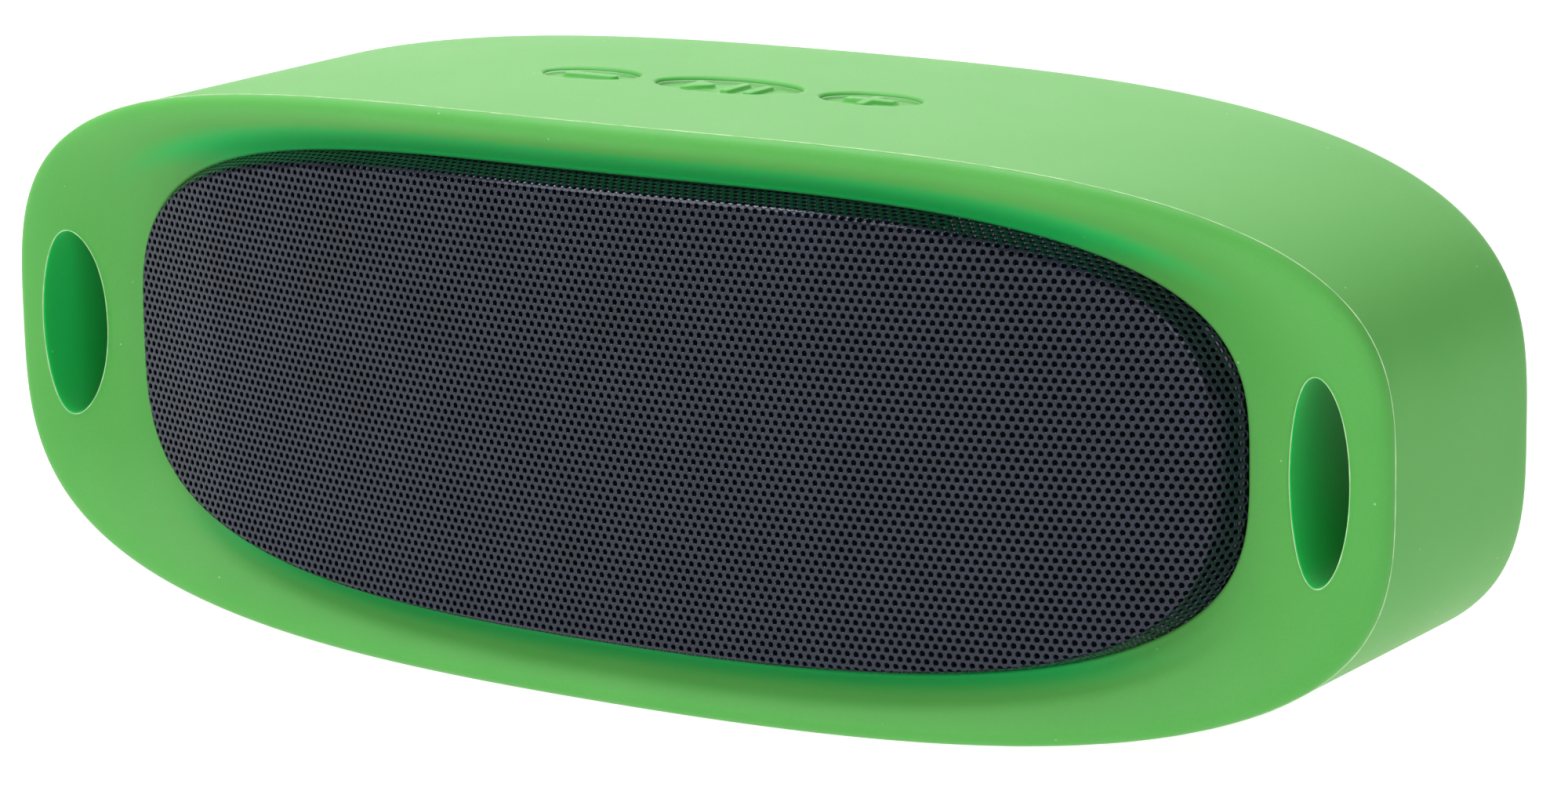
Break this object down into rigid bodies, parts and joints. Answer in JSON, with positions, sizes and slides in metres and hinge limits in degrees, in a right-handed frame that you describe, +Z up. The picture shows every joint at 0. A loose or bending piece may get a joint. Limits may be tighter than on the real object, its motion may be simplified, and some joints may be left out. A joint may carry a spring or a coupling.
{
  "type": "shower speaker",
  "caption": "Portable wireless speaker: a bowed oval case in a soft silicone sleeve with strap slots, a perforated metal grille and rubber buttons on top.",
  "frame": {"origin": "middle of the sleeve's flat underside, in line with the middle of its depth", "axes": "+X to the right seen from the front, -Y out of the grille, +Z up"},
  "size_m": [0.18, 0.057, 0.064],
  "materials": {
    "silicone": "soft matte",
    "case_abs": "fine moulded texture",
    "key_abs": "smooth moulded",
    "seal_rubber": "matte",
    "grille_paint": "satin powder coat",
    "acoustic_cloth": "matte weave",
    "zinc_steel": "zinc plated",
    "screw_steel": "black oxide",
    "ferrite": "ground",
    "cone_paper": "pressed fibre",
    "doped_cloth": "doped weave",
    "coil_copper": "enamelled wire",
    "circuit_board": "solder mask",
    "chip_plastic": "moulded epoxy",
    "nylon_white": "natural nylon",
    "socket_steel": "tin plated",
    "led_lens": "frosted",
    "cell_wrap": "shrink wrap"
  },
  "bodies": {
    "housing": {"silicone_sleeve": "silicone", "front_case": "case_abs", "rear_case": "case_abs", "case_seal": "seal_rubber", "case_screws": "screw_steel", "grille": "grille_paint", "dust_cloth": "acoustic_cloth", "driver_gaskets": "seal_rubber", "driver_screws": "screw_steel", "main_board": "circuit_board", "board_components": "chip_plastic", "bluetooth_module": "socket_steel", "amplifier_chip": "chip_plastic", "wire_sockets": "nylon_white", "usb_socket": "socket_steel", "audio_jack": "chip_plastic", "status_led": "led_lens", "battery_cell": "cell_wrap", "battery_cradle": "case_abs", "key_board": "circuit_board", "board_screws": "zinc_steel", "key_switches": "chip_plastic", "left_basket": "zinc_steel", "left_top_plate": "zinc_steel", "left_magnet": "ferrite", "left_yoke": "zinc_steel", "left_surround": "seal_rubber", "left_spider": "doped_cloth", "right_basket": "zinc_steel", "right_top_plate": "zinc_steel", "right_magnet": "ferrite", "right_yoke": "zinc_steel", "right_surround": "seal_rubber", "right_spider": "doped_cloth"},
    "door": {"port_door": "silicone"},
    "left_driver_cone": {"left_cone": "cone_paper", "left_dust_cap": "cone_paper", "left_voice_coil": "coil_copper"},
    "right_driver_cone": {"right_cone": "cone_paper", "right_dust_cap": "cone_paper", "right_voice_coil": "coil_copper"},
    "minus_button": {"minus_pad": "silicone", "minus_key": "key_abs", "minus_stem": "nylon_white"},
    "play_button": {"play_pad": "silicone", "play_key": "key_abs", "play_stem": "nylon_white"},
    "plus_button": {"plus_pad": "silicone", "plus_key": "key_abs", "plus_stem": "nylon_white"}
  },
  "joints": [
    {"name": "port_door_hinge", "type": "hinge", "parent": "housing", "child": "door", "pos_m": [0, 0.026, 0.0462], "axis": [1, 0, 0], "range_deg": [0, 110], "stiffness_Nm_per_rad": 0.002},
    {"name": "left_cone_slide", "type": "slide", "parent": "housing", "child": "left_driver_cone", "axis": [0, -1, 0], "range_m": [-0.001, 0.001], "stiffness_N_per_m": 1000},
    {"name": "right_cone_slide", "type": "slide", "parent": "housing", "child": "right_driver_cone", "axis": [0, -1, 0], "range_m": [-0.001, 0.001], "stiffness_N_per_m": 1000},
    {"name": "minus_press", "type": "slide", "parent": "housing", "child": "minus_button", "axis": [0, 0, -1], "range_m": [0, 0.0004], "stiffness_N_per_m": 1500},
    {"name": "play_press", "type": "slide", "parent": "housing", "child": "play_button", "axis": [0, 0, -1], "range_m": [0, 0.0004], "stiffness_N_per_m": 1500},
    {"name": "plus_press", "type": "slide", "parent": "housing", "child": "plus_button", "axis": [0, 0, -1], "range_m": [0, 0.0004], "stiffness_N_per_m": 1500}
  ]
}
